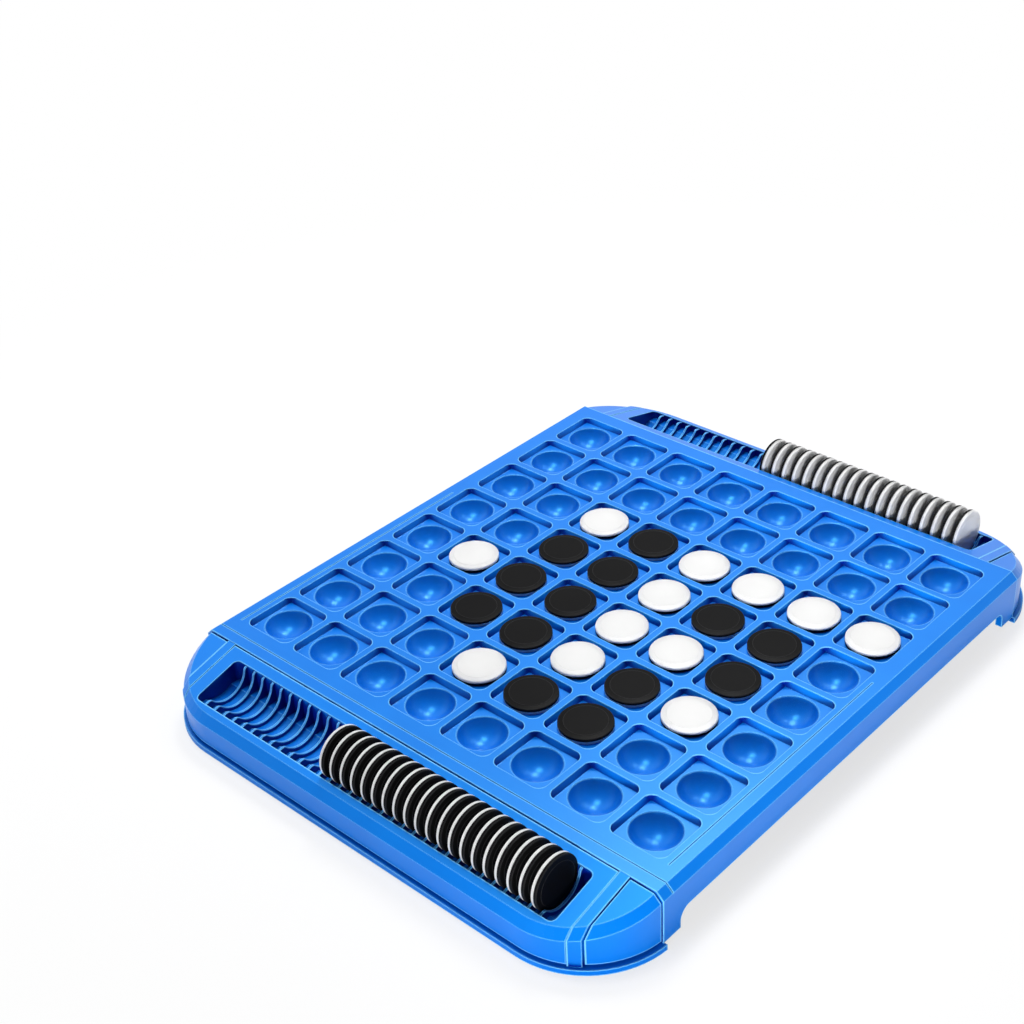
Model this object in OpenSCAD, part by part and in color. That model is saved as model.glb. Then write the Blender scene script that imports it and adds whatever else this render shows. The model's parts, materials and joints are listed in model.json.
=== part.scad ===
// Reversi board with an edge rack at each end and two-coloured discs.
// The playing field's columns run along X and its rows along Y, and Z is up.
// The origin is on the table under the middle of the board.

/* [Discs] */
// Diameter of a disc
disc_d = 22; // [18:0.5:26]
// Thickness of a whole disc at its middle
disc_t = 3.2; // [2.6:0.1:3.8]
// Width of the sloping band round a disc's face
band_w = 2.2; // [1.4:0.1:3]
// Fall of the band from the face to the disc's edge
band_fall = 0.2; // [0.1:0.05:0.5]
// Step down from the face to the band
face_step = 0.1; // [0.05:0.01:0.2]
// Radius of a disc's outer edge
edge_r = 0.35; // [0.2:0.05:0.7]
// Radius of the spigot that joins the two halves
spigot_r = 7; // [4:0.5:8]
// Height of that spigot
spigot_h = 0.5; // [0.3:0.1:0.8]
// Clearance round and above the spigot
spigot_gap = 0.1; // [0.05:0.05:0.3]

/* [Playing field] */
// Play between a disc and the foot of its recess
disc_play = 0.2; // [0.1:0.1:1]
// Lean of a recess wall from foot to rim
recess_draft = 1.3; // [0.5:0.1:2]
// Width of the bars between the recesses
bar_w = 3; // [2:0.5:6]
// Depth of a recess below the deck
recess_depth = 2.5; // [1.5:0.25:4]
// Corner radius of a recess at the deck
recess_corner_r = 4; // [2:0.5:6]
// Ledge of recess floor that a disc's edge covers
dimple_ledge = 1; // [0.8:0.1:1.6]
// Depth of the bowl under a disc
dimple_depth = 6.5; // [4:0.5:8]
// Bevel round the bowl's rim
rim_bevel = 0.2; // [0.1:0.1:0.4]
// Gap between a disc's band and the bowl's rim
seat_gap = 0.03; // [0.01:0.01:0.1]
// Deck between the outer recesses and the side bevel
side_margin = 7.5; // [5:0.5:15]
// Deck between the outer recesses and the end seams, on average
end_margin = 10; // [9:0.5:20]
// Shift of the playing field towards the far end, which leaves the near margin wider
field_shift = 2.5; // [0:0.5:4]
// Width of the fine lines cut round the playing field
line_w = 0.4; // [0.3:0.1:0.8]
// Depth of those lines
line_depth = 0.25; // [0.1:0.05:0.5]
// Distance of those lines from the recesses along the sides
side_line_gap = 2.9; // [1:0.1:4]
// Length of the lines along the sides, from the near end of the field
side_line_l = 128; // [60:1:200]
// Distance of the near line from the near end seam
end_line_gap = 5.4; // [1:0.1:8]

/* [Board] */
// Height of the deck above the table
board_h = 25; // [24:0.5:32]
// Wall thickness of the board moulding
wall_t = 2.2; // [1.6:0.1:3]
// Bevel along the board's upper edge
edge_bevel = 3; // [1:0.5:4]
// Height of the open gap under the long sides
gap_under = 10.6; // [6:0.2:12]
// Length of the leg at each end of a long side
leg_l = 9.5; // [6:0.5:16]
// Overlap of a leg with the end wall behind it
leg_lap = 0.7; // [0.3:0.1:1.5]
// Radius between the leg and the side wall
leg_fillet = 5; // [2:0.5:6]
// Height of the lip that the ends stand on
lip_h = 2.5; // [1.5:0.1:4]
// Reach of the lip beyond the walls
lip_out = 1.5; // [0.5:0.1:3]
// Width of the lip inside the walls
lip_in = 6; // [5:0.5:8]
// Radius of the board's corners
corner_r = 37; // [20:0.5:38]
// Tilt of the end surfaces
end_tilt = 14.4; // [8:0.2:16]
// Step down from the deck to the end surfaces
end_step = 0.2; // [0:0.05:0.5]
// Width of the strips beside each rack
strip_w = 4.4; // [2:0.2:5]
// Width of the ledges that carry the racks
ledge_w = 1.8; // [1.2:0.1:3]
// Depth of the seats under the racks and corner caps
seat_depth = 2.3; // [1.8:0.1:3]

/* [Racks] */
// Distance from one disc slot to the next
slot_pitch = 5.6; // [5:0.1:6]
// Thickness of a rib between two slots
rib_t = 1; // [0.8:0.1:1.4]
// Depth of a rib's cut-out edge inside a disc's edge
rib_grip = 1; // [0.6:0.1:2]
// Height of a rib's cut-out above the trough
rib_rise = 1.6; // [1.2:0.1:2.5]
// Depth of the ribs' tops below the rack's surface
rib_drop = 0.6; // [0.2:0.1:2]
// Radius of the rounded shoulders beside a rib's cut-out
rib_shoulder_r = 2; // [0.5:0.1:3]
// Room between a pocket's end and its first rib's middle
pocket_room = 5.9; // [3:0.1:7]
// Play across a disc in its pocket
pocket_play = 0.3; // [0.2:0.1:1]
// Radius of the pocket's corners, seen from above
pocket_corner_r = 2.5; // [1:0.5:4]
// Rim between an end seam and the pocket
inner_rim = 5.2; // [4.4:0.1:9]
// Rim between the pocket and the outer bevel
outer_rim = 3; // [2:0.1:8]
// Rim between a pocket's end and the strip
pocket_side_rim = 6.5; // [4.5:0.1:8]
// Height of the trough's bottom above the table
trough_h = 11.6; // [10.6:0.2:13]
// Depth of the trough in the pocket's floor
trough_depth = 2.2; // [1.4:0.1:3]
// Wall thickness of the pocket
pocket_t = 1.8; // [1.2:0.1:2.2]
// Gap between a standing disc and the trough
trough_gap = 0.1; // [0.05:0.05:0.3]
// Drop of the rack's surface below the strips
rack_sink = 0.15; // [0:0.05:0.4]
// Fine seam between a rack and its strips
rack_seam = 0.2; // [0.15:0.05:0.5]

/* [Corner caps] */
// Drop of the caps below the strips
cap_sink = 0.5; // [0.2:0.1:1]
// Step in of the caps' walls from the strips' walls
cap_inset = 0.4; // [0.1:0.1:1]
// Seam between the deck and the end mouldings, and beside the caps
seam = 0.5; // [0.2:0.1:0.8]
// Sideways clearance between a cap and its seat
cap_gap = 0.1; // [0.05:0.05:0.3]
// Height of the shadow groove above the lip
groove_h = 1; // [0.5:0.1:2]
// Depth of that groove
groove_d = 0.9; // [0.4:0.1:1.2]

/* [Hidden] */
// The game is played on eight columns and eight rows, and each rack holds half of the set
cells = 8;
slots = 32;
// Discs left in the racks, after the 25 on the board
near_discs = 20;
far_discs = 19;
columns = "abcdefgh";

disc_r = disc_d / 2;
half_t = disc_t / 2;
face_r = disc_r - band_w;
// A disc's band drops straight from the face's step to where the edge radius starts
band_slope = band_fall / (band_w - edge_r);
dimple_r = disc_r - dimple_ledge;
rim_r = dimple_r + rim_bevel;
recess_foot_w = disc_d + 2 * disc_play;
recess_w = recess_foot_w + 2 * recess_draft;
cell_pitch = recess_w + bar_w;
floor_z = board_h - recess_depth;
// The band rests on the bowl's rim, so the face hangs a little into the bowl
disc_mid_z = floor_z + seat_gap + half_t - face_step - band_slope * (rim_r - face_r);
bowl_r = (pow(dimple_r, 2) + pow(dimple_depth, 2)) / (2 * dimple_depth);
bowl_z = floor_z - dimple_depth + bowl_r;

field_half = cells / 2 * cell_pitch - bar_w / 2;
deck_half_w = field_half + side_margin;
deck_half_l = field_half + end_margin;
wall_half_w = deck_half_w + edge_bevel;
side_line_x = field_half + side_line_gap;
end_line_y = deck_half_l - end_line_gap;

pocket_w = disc_d + 2 * pocket_play;
pocket_half_l = slots * slot_pitch / 2 + pocket_room;
pocket_in = deck_half_l + inner_rim;
pocket_out = pocket_in + pocket_w;
pocket_mid = pocket_in + pocket_w / 2;
wall_half_l = pocket_out + outer_rim + edge_bevel;
rack_half_w = pocket_half_l + pocket_side_rim;
strip_in = rack_half_w + rack_seam;
strip_out = strip_in + strip_w;
opening_half_w = strip_in - ledge_w;
end_slope = tan(end_tilt);
// Where the end surfaces start, just beyond the deck
end_z = board_h - end_step;
end_from = deck_half_l + ledge_w - wall_t;
seat_inset = cap_inset + seat_depth - cap_sink + cap_gap;
leg_t = seat_inset + leg_lap;
rack_disc_z = trough_h + trough_gap + disc_r;
trough_r = disc_r + trough_gap;
rib_arc_r = disc_r - rib_grip;
rib_arc_z = trough_h + rib_rise + rib_arc_r;
reach = wall_half_l + wall_half_w;
// Cutting shapes run past the faces that they cut by this much
over = 1;
// Rounded shoulders run this much into the faces that they blend
blend = 0.02;

// Squares that hold a disc: column, row and the colour that faces up
white_up = [[4, 2], [5, 3], [7, 3], [2, 4], [5, 4], [6, 4], [5, 5], [3, 6], [5, 6], [6, 6], [7, 6], [8, 6]];
black_up = [[5, 2], [6, 2], [3, 3], [4, 3], [6, 3], [3, 4], [4, 4], [7, 4], [3, 5], [4, 5], [6, 5], [7, 5],
            [4, 6]];
white_up_names = [for (s = white_up) str("disc_", columns[s[0] - 1], s[1])];
black_up_names = [for (s = black_up) str("disc_", columns[s[0] - 1], s[1])];

$fn = 96;

// Middle of a square of the field, before the field is shifted
function cell_at(c, r) = [(c - (cells + 1) / 2) * cell_pitch, (r - (cells + 1) / 2) * cell_pitch];

// Moves the playing field to its place on the board
module field() {
    translate([0, field_shift, 0])
        children();
}

// Board outline with round corners, stepped in from the walls
module outline(inset) {
    r = corner_r - inset;
    half_w = wall_half_w - inset;
    half_l = wall_half_l - inset;
    square([2 * half_w, 2 * (half_l - r)], center = true);
    square([2 * (half_w - r), 2 * half_l], center = true);
    for (sx = [-1, 1], sy = [-1, 1])
        translate([sx * (half_w - r), sy * (half_l - r)])
            circle(r);
}

// The part of the outline that lies beyond a distance from the middle, at the near end
module end_outline(inset, from) {
    intersection() {
        outline(inset);
        translate([-reach, -reach])
            square([2 * reach, reach - from]);
    }
}

// Plate of the end outline that follows the tilted end surface at a depth below it
module tilted_plate(inset, depth) {
    skin = 0.1;
    multmatrix([[1, 0, 0, 0],
                [0, 1, 0, 0],
                [0, end_slope, 1, end_z - depth - skin + end_slope * deck_half_l],
                [0, 0, 0, 1]])
        linear_extrude(skin)
            end_outline(inset, deck_half_l - 2 * wall_t);
}

// Tilted and bevelled roof over the near end
module end_roof(inset, drop) {
    spread = 2;
    hull($fn = 64) {
        tilted_plate(inset + edge_bevel, drop, $fn = 64);
        tilted_plate(inset - spread, drop + edge_bevel + spread, $fn = 64);
        translate([0, 0, -over])
            linear_extrude(over / 2)
                end_outline(inset - spread, deck_half_l - 2 * wall_t, $fn = 64);
    }
}

// Solid form of the near end, stepped in by an inset and lowered by a drop
module end_form(inset, drop, from) {
    intersection() {
        linear_extrude(board_h)
            end_outline(inset, from);
        end_roof(inset, drop);
    }
}

// Groove that runs round the walls just above the lip
module lip_groove(inset) {
    translate([0, 0, lip_h])
        linear_extrude(groove_h)
            difference() {
                outline(-lip_out);
                outline(inset + groove_d);
            }
}

// Block from x1 to x2 on both sides of the middle, for distances d1 to d2 at the near end
module side_blocks(x1, x2, d1, d2, z1, z2) {
    for (s = [0, 1])
        mirror([s, 0, 0])
            translate([x1, -d2, z1])
                cube([x2 - x1, d2 - d1, z2 - z1]);
}

module middle_block(half_w, d1, d2, z1, z2) {
    translate([-half_w, -d2, z1])
        cube([2 * half_w, d2 - d1, z2 - z1]);
}

// Deck and long sides between the end seams
module deck_body() {
    rotate([90, 0, 0])
        linear_extrude(2 * deck_half_l, center = true)
            polygon([
                [-wall_half_w, gap_under], [-wall_half_w, board_h - edge_bevel], [-deck_half_w, board_h],
                [deck_half_w, board_h], [wall_half_w, board_h - edge_bevel], [wall_half_w, gap_under],
                [wall_half_w - wall_t, gap_under], [wall_half_w - wall_t, floor_z - wall_t],
                [-wall_half_w + wall_t, floor_z - wall_t], [-wall_half_w + wall_t, gap_under]
            ]);
}

// One leg at the end of a long side, with the round corner that blends it into the wall
module leg() {
    leg_d = deck_half_l - leg_l;
    translate([wall_half_w - leg_t, 0, 0])
        rotate([90, 0, 90])
            linear_extrude(leg_t)
                difference() {
                    translate([-deck_half_l, lip_h])
                        square([leg_l + leg_fillet, gap_under + wall_t - lip_h]);
                    translate([-leg_d, lip_h - over])
                        square([leg_fillet + over, gap_under - leg_fillet - lip_h + over]);
                    translate([-leg_d + leg_fillet, gap_under - leg_fillet])
                        circle(leg_fillet);
                }
}

// Sloping sides of the recesses: long wedge-shaped channels for one direction
module channels() {
    rotate([90, 0, 0])
        linear_extrude(2 * field_half + 2 * over, center = true)
            for (c = [1 : cells])
                translate([cell_at(c, 1)[0], floor_z])
                    polygon([
                        [-recess_foot_w / 2, 0], [recess_foot_w / 2, 0],
                        [recess_w / 2, recess_depth], [recess_w / 2, recess_depth + over],
                        [-recess_w / 2, recess_depth + over], [-recess_w / 2, recess_depth]
                    ]);
}

module recess_outline() {
    straight = recess_w - 2 * recess_corner_r;
    square([recess_w, straight], center = true);
    square([straight, recess_w], center = true);
    for (sx = [-1, 1], sy = [-1, 1])
        translate([sx * straight / 2, sy * straight / 2])
            circle(recess_corner_r);
}

// All recesses at once, where the channels of both directions cross
module recesses() {
    intersection() {
        channels();
        rotate([0, 0, 90])
            channels();
        translate([0, 0, floor_z - over])
            linear_extrude(recess_depth + 2 * over)
                for (c = [1 : cells], r = [1 : cells])
                    translate(cell_at(c, r))
                        recess_outline();
    }
}

// Round bowl with a bevelled rim
module bowl() {
    translate([0, 0, floor_z])
        rotate_extrude() {
            intersection() {
                translate([0, bowl_r - dimple_depth])
                    circle(bowl_r);
                translate([0, -dimple_depth - over])
                    square([dimple_r + over, dimple_depth + over]);
            }
            polygon([[0, -rim_bevel], [dimple_r, -rim_bevel], [rim_r, 0], [rim_r, over], [0, over]]);
        }
}

// The bowl's outside, seen from below the deck
module bowl_shell() {
    translate([0, 0, floor_z])
        rotate_extrude()
            intersection() {
                translate([0, bowl_r - dimple_depth])
                    circle(bowl_r + wall_t);
                translate([0, -dimple_depth - wall_t - over])
                    square([dimple_r + 2 * wall_t, dimple_depth + over]);
            }
}

// Fine lines cut into the deck: one along each side and one across the near end and its side bevels
module deck_lines() {
    top_in = deck_half_w - line_depth * tan(22.5);
    wall_in = wall_half_w - line_depth * sqrt(2);
    for (s = [-1, 1])
        translate([s * side_line_x - line_w / 2, field_shift - field_half, board_h - line_depth])
            cube([line_w, side_line_l, line_depth + over]);
    translate([0, -end_line_y, 0])
        rotate([90, 0, 0])
            linear_extrude(line_w, center = true)
                difference() {
                    translate([-wall_half_w - over, board_h - edge_bevel])
                        square([2 * (wall_half_w + over), edge_bevel + over]);
                    polygon([
                        [-wall_in, board_h - edge_bevel - over], [-wall_in, board_h - edge_bevel],
                        [-top_in, board_h - line_depth], [top_in, board_h - line_depth],
                        [wall_in, board_h - edge_bevel], [wall_in, board_h - edge_bevel - over]
                    ]);
                }
}

// Frame at the near end: strips, seats for the rack and the caps, and the lip
module end_frame() {
    // strips that show between the rack and the caps
    intersection() {
        end_form(0, 0, end_from);
        side_blocks(strip_in, strip_out, end_from, reach, 0, board_h);
    }
    // seats, hollow under the caps and open under the rack
    difference() {
        end_form(seat_inset, seat_depth, end_from);
        translate([0, 0, -over])
            intersection() {
                end_form(seat_inset + wall_t, seat_depth + wall_t - over, deck_half_l);
                side_blocks(strip_out, reach, deck_half_l + ledge_w, reach, 0, board_h);
            }
        middle_block(opening_half_w, deck_half_l + ledge_w, reach, -over, board_h);
    }
    // lip that everything stands on
    linear_extrude(lip_h)
        difference() {
            end_outline(-lip_out, end_from);
            outline(lip_in);
        }
}

module board() {
    color("dodgerblue")
        difference() {
            union() {
                deck_body();
                for (sx = [0, 1], sy = [0, 1])
                    mirror([sx, 0, 0])
                        mirror([0, sy, 0])
                            leg();
                field()
                    for (c = [1 : cells], r = [1 : cells])
                        translate(cell_at(c, r))
                            bowl_shell();
                end_frame();
                rotate([0, 0, 180])
                    end_frame();
            }
            field()
                recesses();
            field()
                for (c = [1 : cells], r = [1 : cells])
                    translate(cell_at(c, r))
                        bowl();
            deck_lines();
        }
}

// Cut-out in the ribs' tops that a disc stands in, with its shoulders rounded
module rib_cut(shoulder_z) {
    // distances are measured square to the ribs' tilted tops
    up = [-sin(end_tilt), cos(end_tilt)];
    along = [cos(end_tilt), sin(end_tilt)];
    centre = [-pocket_mid, rib_arc_z];
    rise = (centre - [-pocket_in, shoulder_z]) * up;
    half = sqrt(pow(rib_arc_r + rib_shoulder_r, 2) - pow(rise + rib_shoulder_r, 2));
    outer = centre - (rise + rib_shoulder_r) * up - half * along;
    inner = centre - (rise + rib_shoulder_r) * up + half * along;
    translate(centre)
        circle(rib_arc_r);
    difference() {
        polygon([centre, outer, outer + 4 * rib_arc_r * up, inner + 4 * rib_arc_r * up, inner]);
        for (place = [outer, inner])
            translate(place)
                circle(rib_shoulder_r + blend);
    }
}

// Profile of a rib across the pocket
module rib_profile() {
    top_in = end_z - rack_sink - rib_drop - end_slope * inner_rim;
    top_out = top_in - end_slope * pocket_w;
    bottom = trough_h + trough_depth - over;
    difference() {
        polygon([
            [-pocket_out - over, bottom], [-pocket_out - over, top_out - end_slope * over],
            [-pocket_in + over, top_in + end_slope * over], [-pocket_in + over, bottom]
        ]);
        rib_cut(top_in);
    }
}

// Foot of a rib that fills the trough up to the cut-out
module rib_foot() {
    intersection() {
        translate([-pocket_mid - trough_r, trough_h - pocket_t / 2])
            square([2 * trough_r, trough_depth + pocket_t]);
        difference() {
            translate([-pocket_mid - trough_r, trough_h - pocket_t])
                square([2 * trough_r, trough_depth + 2 * pocket_t]);
            translate([-pocket_mid, rib_arc_z])
                circle(rib_arc_r);
        }
    }
}

module ribs() {
    for (i = [0 : slots])
        translate([(i - slots / 2) * slot_pitch - rib_t / 2, 0, 0])
            rotate([90, 0, 90])
                linear_extrude(rib_t) {
                    rib_profile();
                    rib_foot();
                }
}

// Pocket without its ribs
module pocket() {
    ledge_z = trough_h + trough_depth;
    r = pocket_corner_r;
    translate([0, -pocket_mid, ledge_z])
        linear_extrude(board_h) {
            square([2 * pocket_half_l, pocket_w - 2 * r], center = true);
            square([2 * (pocket_half_l - r), pocket_w], center = true);
            for (sx = [-1, 1], sy = [-1, 1])
                translate([sx * (pocket_half_l - r), sy * (pocket_w / 2 - r)])
                    circle(r);
        }
    intersection() {
        translate([-pocket_half_l, -pocket_mid, trough_h + trough_r])
            rotate([0, 90, 0])
                cylinder(h = 2 * pocket_half_l, r = trough_r);
        middle_block(pocket_half_l, pocket_in, pocket_out, 0, ledge_z + over);
    }
}

// One rack moulding: tilted top, front wall and ribbed pocket
module rack() {
    color("dodgerblue")
        difference() {
            intersection() {
                end_form(0, rack_sink, deck_half_l + seam);
                middle_block(rack_half_w, deck_half_l, reach, lip_h, board_h);
            }
            // hollow underside round the pocket
            difference() {
                end_form(wall_t, seat_depth, deck_half_l);
                middle_block(pocket_half_l + pocket_t, pocket_in - pocket_t, pocket_out + pocket_t,
                             trough_h - pocket_t, board_h);
            }
            difference() {
                pocket();
                ribs();
            }
            lip_groove(0);
        }
}

// The two caps at one end
module corner_caps() {
    cap_t = seat_depth - cap_sink;
    color("dodgerblue")
        difference() {
            intersection() {
                end_form(cap_inset, cap_sink, deck_half_l + seam);
                side_blocks(strip_out + seam, reach, deck_half_l, reach, lip_h, board_h);
            }
            end_form(cap_inset + cap_t, seat_depth, deck_half_l);
            lip_groove(cap_inset);
        }
}

// Half a disc, its joint face at z = 0 and its face up
module half_profile() {
    foot = half_t - face_step;
    shoulder_z = foot - band_fall;
    intersection() {
        polygon([
            [0, 0], [disc_r, 0], [disc_r, shoulder_z - edge_r], [disc_r - edge_r, shoulder_z],
            [face_r, foot], [face_r, half_t], [0, half_t]
        ]);
        square([disc_r, half_t]);
    }
    translate([disc_r - edge_r, shoulder_z - edge_r])
        circle(edge_r);
}

module white_half() {
    color("white") {
        rotate_extrude()
            half_profile();
        translate([0, 0, -spigot_h])
            cylinder(h = spigot_h + spigot_gap, r = spigot_r);
    }
}

module black_half() {
    color([0.07, 0.07, 0.07])
        difference() {
            rotate_extrude()
                half_profile();
            translate([0, 0, -over])
                cylinder(h = spigot_h + spigot_gap + over, r = spigot_r + spigot_gap);
        }
}

// A half on its square, face up or face down
module on_square(s, face_up) {
    field()
        translate([cell_at(s[0], s[1])[0], cell_at(s[0], s[1])[1], disc_mid_z])
            mirror([0, 0, face_up ? 0 : 1])
                children();
}

// Halves of the discs that stand in a rack, facing along X, from the pocket's right end
module in_rack(count, y, facing) {
    for (i = [1 : count])
        translate([(slots / 2 - i + 0.5) * slot_pitch, y, rack_disc_z])
            rotate([0, facing * 90, 0])
                children();
}

board();
rack();  // near_rack
rotate([0, 0, 180]) rack();  // far_rack
corner_caps();  // near_corner_caps
rotate([0, 0, 180]) corner_caps();  // far_corner_caps
for (i = [0 : len(white_up) - 1]) {
    n = white_up_names[i];
    on_square(white_up[i], true) white_half();
    on_square(white_up[i], false) black_half();
}
for (i = [0 : len(black_up) - 1]) {
    n = black_up_names[i];
    on_square(black_up[i], true) black_half();
    on_square(black_up[i], false) white_half();
}
in_rack(near_discs, -pocket_mid, 1) black_half();  // near_rack_black_halves
in_rack(near_discs, -pocket_mid, -1) white_half();  // near_rack_white_halves
in_rack(far_discs, pocket_mid, 1) white_half();  // far_rack_white_halves
in_rack(far_discs, pocket_mid, -1) black_half();  // far_rack_black_halves
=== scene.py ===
import json
import math

import bpy
from mathutils import Euler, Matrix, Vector

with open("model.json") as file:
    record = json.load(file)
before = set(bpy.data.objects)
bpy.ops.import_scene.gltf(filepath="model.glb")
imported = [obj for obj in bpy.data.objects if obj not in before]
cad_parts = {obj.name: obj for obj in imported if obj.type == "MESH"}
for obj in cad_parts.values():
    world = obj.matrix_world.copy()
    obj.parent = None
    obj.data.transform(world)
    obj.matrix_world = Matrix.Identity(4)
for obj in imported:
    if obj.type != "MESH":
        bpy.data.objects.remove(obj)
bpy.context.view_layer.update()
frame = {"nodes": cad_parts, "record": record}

scene = bpy.context.scene
scene.view_settings.view_transform = "Standard"
print("frame loaded:", len(frame["nodes"]), "nodes")


class Wire:
    # one socket of a shader, which can stand in a sum
    def __init__(self, shade, socket):
        self.shade = shade
        self.socket = socket

    def maths(self, operation, first, second=None, clamp=False):
        inputs = {0: first} if second is None else {0: first, 1: second}
        return self.shade.node("ShaderNodeMath", {"operation": operation, "use_clamp": clamp}, inputs)

    def __add__(self, other):
        return self.maths("ADD", self, other)

    def __radd__(self, other):
        return self.maths("ADD", other, self)

    def __sub__(self, other):
        return self.maths("SUBTRACT", self, other)

    def __rsub__(self, other):
        return self.maths("SUBTRACT", other, self)

    def __mul__(self, other):
        return self.maths("MULTIPLY", self, other)

    def __rmul__(self, other):
        return self.maths("MULTIPLY", other, self)

    def atLeast(self, other):
        return self.maths("MAXIMUM", self, other)

    def clamped(self):
        return self.maths("ADD", self, 0.0, clamp=True)

    def unsigned(self):
        return self.maths("ABSOLUTE", self)


class Shade:
    # a material or the world, built one node at a time
    def __init__(self, owner):
        owner.use_nodes = True
        self.owner = owner
        self.tree = owner.node_tree
        self.tree.nodes.clear()

    def node(self, kind, settings=None, inputs=None, output=0):
        made = self.tree.nodes.new(kind)
        for name, value in (settings or {}).items():
            setattr(made, name, value)
        for name, value in (inputs or {}).items():
            if isinstance(value, Wire):
                self.tree.links.new(value.socket, made.inputs[name])
            else:
                made.inputs[name].default_value = value
        return Wire(self, made.outputs[output]) if made.outputs else None

    def blend(self, factor, first, second):
        # a Mix node set to colour takes its two colours in sockets 6 and 7 and gives the result in 2
        return self.node("ShaderNodeMix", {"data_type": "RGBA"}, {0: factor, 6: first, 7: second}, output=2)

    def places(self):
        return self.node("ShaderNodeTexCoord", output="Object")

    def noise(self, scale, detail=2.0, roughness=0.5):
        return self.node("ShaderNodeTexNoise", None,
                         {"Vector": self.places(), "Scale": scale, "Detail": detail, "Roughness": roughness})


def linear(red, green, blue):
    # screen values from 0 to 255 as the linear colour that a socket takes, by the curve of sRGB
    def one(value):
        value /= 255
        return value / 12.92 if value <= 0.04045 else ((value + 0.055) / 1.055) ** 2.4
    return (one(red), one(green), one(blue), 1.0)


plainWhite = (1.0, 1.0, 1.0, 1.0)

# Plastics

boardPlastic = {
    "name": "blueBoardPlastic",
    "colour": linear(0, 117, 221),
    "deepColour": linear(0, 110, 214),  # where the plastic is clouded
    "edgeHighlightColour": linear(125, 208, 255),  # painted highlight along rounded edges
    "hollowShadeColour": linear(0, 24, 132),  # painted shade on steep walls in hollows
    "hollowShadeShare": 6.5,
    "edgeHighlightReach": 0.00052,  # metres
    "edgeHighlightShare": 0.8,
    "edgeRounding": 0.0004,  # metres
    "roughness": (0.27, 0.33),
    "ripple": 0.000012,  # metres
    "shine": 0.75,
    "shineTint": (0.07, 0.56, 1.0, 1.0),
    "depth": 0.0,  # share of the light that spreads inside
}

blackPlastic = {
    "name": "blackDiscPlastic",
    "colour": linear(15, 15, 16),
    "deepColour": linear(12, 12, 13),
    # painted highlight along rounded edges
    "edgeHighlightColour": linear(70, 70, 72),
    # painted shade on steep walls in hollows
    "hollowShadeColour": linear(8, 8, 9),
    "hollowShadeShare": 1.0,
    "edgeHighlightReach": 0.0004,
    "edgeHighlightShare": 0.5,
    "edgeRounding": 0.00025,
    "roughness": (0.34, 0.42),
    "ripple": 0.000008,
    "shine": 0.03,
    "shineTint": plainWhite,
    "depth": 0.0,
}

whitePlastic = {
    "name": "whiteDiscPlastic",
    "colour": linear(238, 238, 237),
    "deepColour": linear(232, 232, 231),
    # painted highlight along rounded edges
    "edgeHighlightColour": linear(244, 244, 243),
    # painted shade on steep walls in hollows
    "hollowShadeColour": linear(215, 215, 214),
    "hollowShadeShare": 0.5,
    "edgeHighlightReach": 0.0004,
    "edgeHighlightShare": 0.5,
    "edgeRounding": 0.00025,
    "roughness": (0.28, 0.36),
    "ripple": 0.000008,
    "shine": 0.25,
    "shineTint": plainWhite,
    "depth": 0.9,
}

# the same in all three plastics
moulding = {
    "cloud": {"scale": 45.0, "detail": 3.0, "roughness": 0.55},
    "cloudGain": 1.6,
    "cloudLoss": 0.3,
    "grain": {"scale": 900.0, "detail": 2.0, "roughness": 0.6},
    "grainStrength": 0.6,
    # gain and loss of the painted highlight along edges
    "edgeHighlightGain": 6.0,
    "edgeHighlightLoss": 0.3,
    "edgeSamples": 6,
    # reach, loss and samples of the painted shade in hollows
    "hollowShadeReach": 0.012,  # metres
    "hollowShadeLoss": 0.1,
    "hollowShadeSamples": 12,
    "shadeWallWeight": 1.12,  # how much painted shade an upright wall in a hollow takes, where a level face has 1 less
    "spread": 0.006,  # metres that light goes inside
    "spreadColour": (1.0, 1.0, 1.0),
    "ior": 1.5,
}


def edgeHighlightMask(shade, look):
    # towards 1 on edges, where little plastic lies behind the surface; there the painted highlight goes
    inner = shade.node("ShaderNodeAmbientOcclusion",
                       {"samples": moulding["edgeSamples"], "inside": True, "only_local": True},
                       {"Distance": look["edgeHighlightReach"]}, output="AO")
    return ((1 - inner) * moulding["edgeHighlightGain"] - moulding["edgeHighlightLoss"]).clamped() * look["edgeHighlightShare"]


def hollowShadeMask(shade, look):
    # towards 1 on the steep walls of hollows, where the painted shade goes
    openness = shade.node("ShaderNodeAmbientOcclusion",
                          {"samples": moulding["hollowShadeSamples"], "only_local": True},
                          {"Distance": moulding["hollowShadeReach"]}, output="AO")
    facing = shade.node("ShaderNodeNewGeometry", output="Normal")
    upward = shade.node("ShaderNodeSeparateXYZ", None, {0: facing}, output="Z")
    steep = moulding["shadeWallWeight"] - upward.unsigned()
    return ((1 - openness - moulding["hollowShadeLoss"]) * steep * look["hollowShadeShare"]).clamped()


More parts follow.
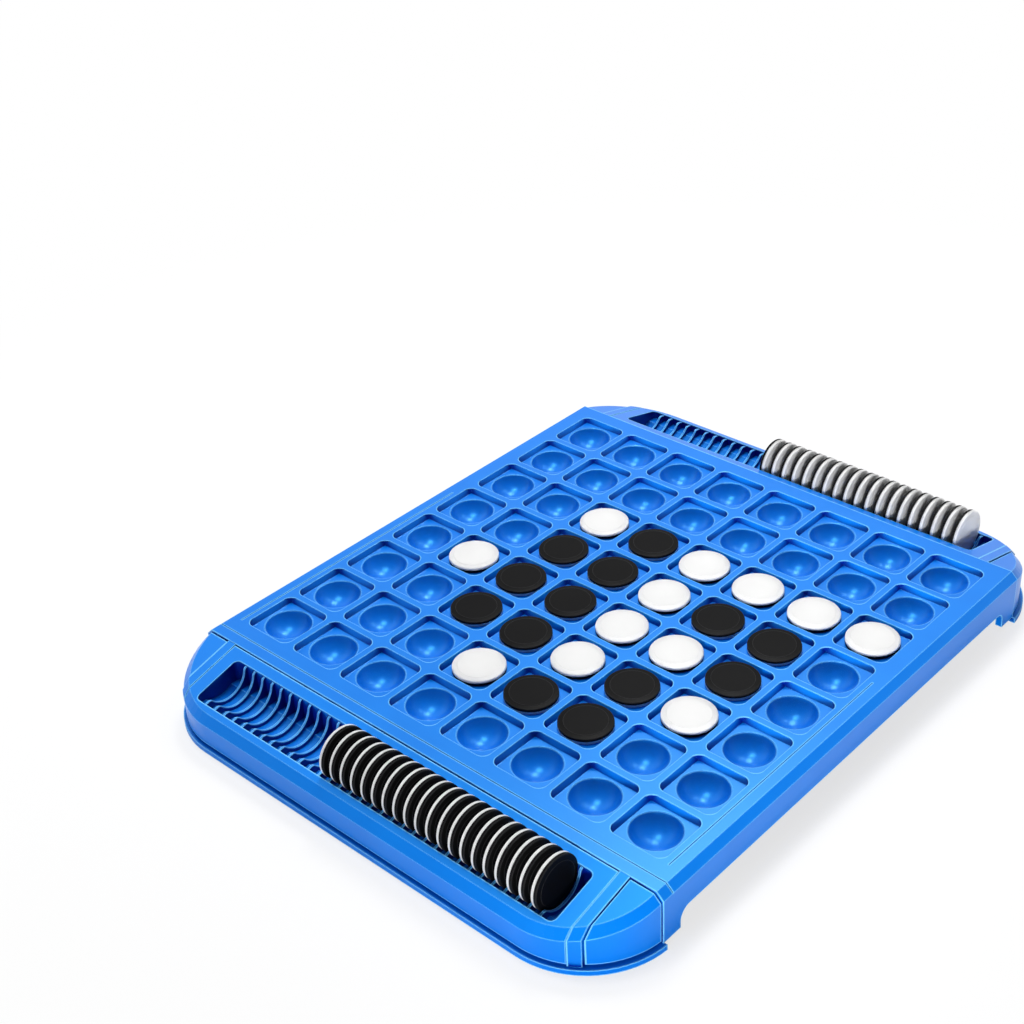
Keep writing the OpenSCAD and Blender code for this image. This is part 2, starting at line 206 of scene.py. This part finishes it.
def mouldedPlastic(look):
    # satin plastic with cloudy colour, painted shade on steep walls in hollows, a painted highlight along
    # rounded edges and a rippled skin
    shade = Shade(bpy.data.materials.new(look["name"]))
    cloud = shade.noise(**moulding["cloud"])
    clouded = (cloud * moulding["cloudGain"] - moulding["cloudLoss"]).clamped()
    colour = shade.blend(clouded, look["deepColour"], look["colour"])
    # painted shade: the hollow colour laid on steep walls in hollows
    colour = shade.blend(hollowShadeMask(shade, look), colour, look["hollowShadeColour"])
    # painted highlight: the paler edge colour laid along rounded edges
    colour = shade.blend(edgeHighlightMask(shade, look), colour, look["edgeHighlightColour"])
    smooth, rough = look["roughness"]
    rounded = shade.node("ShaderNodeBevel", {"samples": moulding["edgeSamples"]},
                         {"Radius": look["edgeRounding"]})
    skin = shade.node("ShaderNodeBump", None, {
        "Strength": moulding["grainStrength"],
        "Distance": look["ripple"],
        "Height": shade.noise(**moulding["grain"]),
        "Normal": rounded,
    })
    surface = shade.node("ShaderNodeBsdfPrincipled", None, {
        "Base Color": colour,
        "Roughness": smooth + (rough - smooth) * cloud,
        "Normal": skin,
        "Specular IOR Level": look["shine"],
        "Specular Tint": look["shineTint"],
        "Subsurface Weight": look["depth"],
        "Subsurface Radius": moulding["spreadColour"],
        "Subsurface Scale": moulding["spread"],
        "IOR": moulding["ior"],
    })
    shade.node("ShaderNodeOutputMaterial", None, {"Surface": surface})
    return shade.owner


plastics = {
    "board_plastic": mouldedPlastic(boardPlastic),
    "disc_black": mouldedPlastic(blackPlastic),
    "disc_white": mouldedPlastic(whitePlastic),
}
for part in frame["record"]["subparts"]:
    mesh = frame["nodes"][part["node"]].data
    mesh.materials.clear()
    mesh.materials.append(plastics[part["material_slot"]])
print("plastics made")

# Floor

floorLook = {
    "half": 3.0,  # metres from the middle to each side
    "colour": (0.86, 0.86, 0.86, 1.0),
    "paleColour": (0.9, 0.9, 0.9, 1.0),
    "cloudScale": 3.0,
    "glow": 0.6,  # share of plain white that the camera sees at the origin
    "glowGrowth": 0.8,  # what a metre outwards adds to it
}


def makeFloor():
    half = floorLook["half"]
    corners = [(-half, -half, 0), (half, -half, 0), (half, half, 0), (-half, half, 0)]
    mesh = bpy.data.meshes.new("floor")
    mesh.from_pydata(corners, [], [(0, 1, 2, 3)])
    floor = bpy.data.objects.new("floor", mesh)
    scene.collection.objects.link(floor)
    shade = Shade(bpy.data.materials.new("paleFloor"))
    cloud = shade.noise(floorLook["cloudScale"])
    tint = shade.blend(cloud, floorLook["colour"], floorLook["paleColour"])
    matt = shade.node("ShaderNodeBsdfDiffuse", None, {"Color": tint})
    white = shade.node("ShaderNodeEmission", None, {"Color": plainWhite, "Strength": 1.0})
    seen = shade.node("ShaderNodeLightPath", output="Is Camera Ray")
    outwards = shade.node("ShaderNodeVectorMath", {"operation": "LENGTH"}, {0: shade.places()},
                          output="Value")
    glow = seen * (outwards * floorLook["glowGrowth"] + floorLook["glow"]).clamped()
    surface = shade.node("ShaderNodeMixShader", None, {0: glow, 1: matt, 2: white})
    shade.node("ShaderNodeOutputMaterial", None, {"Surface": surface})
    mesh.materials.append(shade.owner)


# Surroundings, dim as a light and white to look at

surroundings = {
    "colour": (0.95, 0.97, 1.0, 1.0),
    "strength": 0.1,
}


def makeWorld():
    world = bpy.data.worlds.new("studio")
    scene.world = world
    shade = Shade(world)
    seen = shade.node("ShaderNodeLightPath", output="Is Camera Ray")
    mirrored = shade.node("ShaderNodeLightPath", output="Is Glossy Ray")
    through = shade.node("ShaderNodeLightPath", output="Is Transmission Ray")
    dim = shade.node("ShaderNodeBackground", None,
                     {"Color": surroundings["colour"], "Strength": surroundings["strength"]})
    white = shade.node("ShaderNodeBackground", None, {"Color": plainWhite, "Strength": 1.0})
    surface = shade.node("ShaderNodeMixShader", None,
                         {0: seen.atLeast(mirrored).atLeast(through), 1: dim, 2: white})
    shade.node("ShaderNodeOutputWorld", None, {"Surface": surface})


# Lamps

# round lamps aimed at the origin
roundLamps = {
    "keyLamp": {"place": (-0.45, 0.74, 1.34), "width": 0.42, "watts": 12.0},
    "highLamp": {"place": (-0.26, 0.06, 1.36), "width": 0.42, "watts": 10.5},
    "edgeLamp": {"place": (0.1, 0.9, 1.15), "width": 0.3, "watts": 2.0},
    "leftPanel": {"place": (-1.25, -0.05, 1.15), "width": 1.2, "watts": 3.0},
    "frontLamp": {"place": (-0.13, -1.49, 0.12), "width": 0.4, "watts": 8.5},
}

# a low lamp from the right front, held to the discs in the far rack
rackSpot = {
    "place": (0.8, -1.15, 0.15),
    "aim": (0.02, 0.137, 0.03),
    "watts": 80.0,
    "radius": 0.08,
    "cone": 12.0,  # degrees
    "blend": 0.6,
}


def placeLamp(lamp, place, aim):
    holder = bpy.data.objects.new(lamp.name, lamp)
    holder.location = place
    holder.rotation_euler = (Vector(aim) - Vector(place)).to_track_quat("-Z", "Y").to_euler()
    scene.collection.objects.link(holder)


def makeLamps():
    for name, look in roundLamps.items():
        lamp = bpy.data.lights.new(name, "AREA")
        lamp.shape = "DISK"
        lamp.size = look["width"]
        lamp.energy = look["watts"]
        placeLamp(lamp, look["place"], (0.0, 0.0, 0.0))
    spot = bpy.data.lights.new("rackSpot", "SPOT")
    spot.energy = rackSpot["watts"]
    spot.shadow_soft_size = rackSpot["radius"]
    spot.spot_size = math.radians(rackSpot["cone"])
    spot.spot_blend = rackSpot["blend"]
    placeLamp(spot, rackSpot["place"], rackSpot["aim"])


# Camera

cameraView = {
    "place": (0.37365, -0.44222, 0.43954),
    "turn": (57.4688, 2.8321, 42.3902),  # degrees about X, Y and Z
    "lens": 59.454,  # millimetres
    "sensor": 36.0,
    "nearest": 0.01,
}


def makeCamera():
    camera = bpy.data.cameras.new("photoView")
    camera.lens = cameraView["lens"]
    camera.sensor_width = cameraView["sensor"]
    camera.sensor_fit = "HORIZONTAL"
    camera.clip_start = cameraView["nearest"]
    holder = bpy.data.objects.new("photoView", camera)
    holder.location = cameraView["place"]
    holder.rotation_euler = Euler([math.radians(angle) for angle in cameraView["turn"]])
    scene.collection.objects.link(holder)
    scene.camera = holder


makeFloor()
makeWorld()
makeLamps()
makeCamera()
print("studio made")
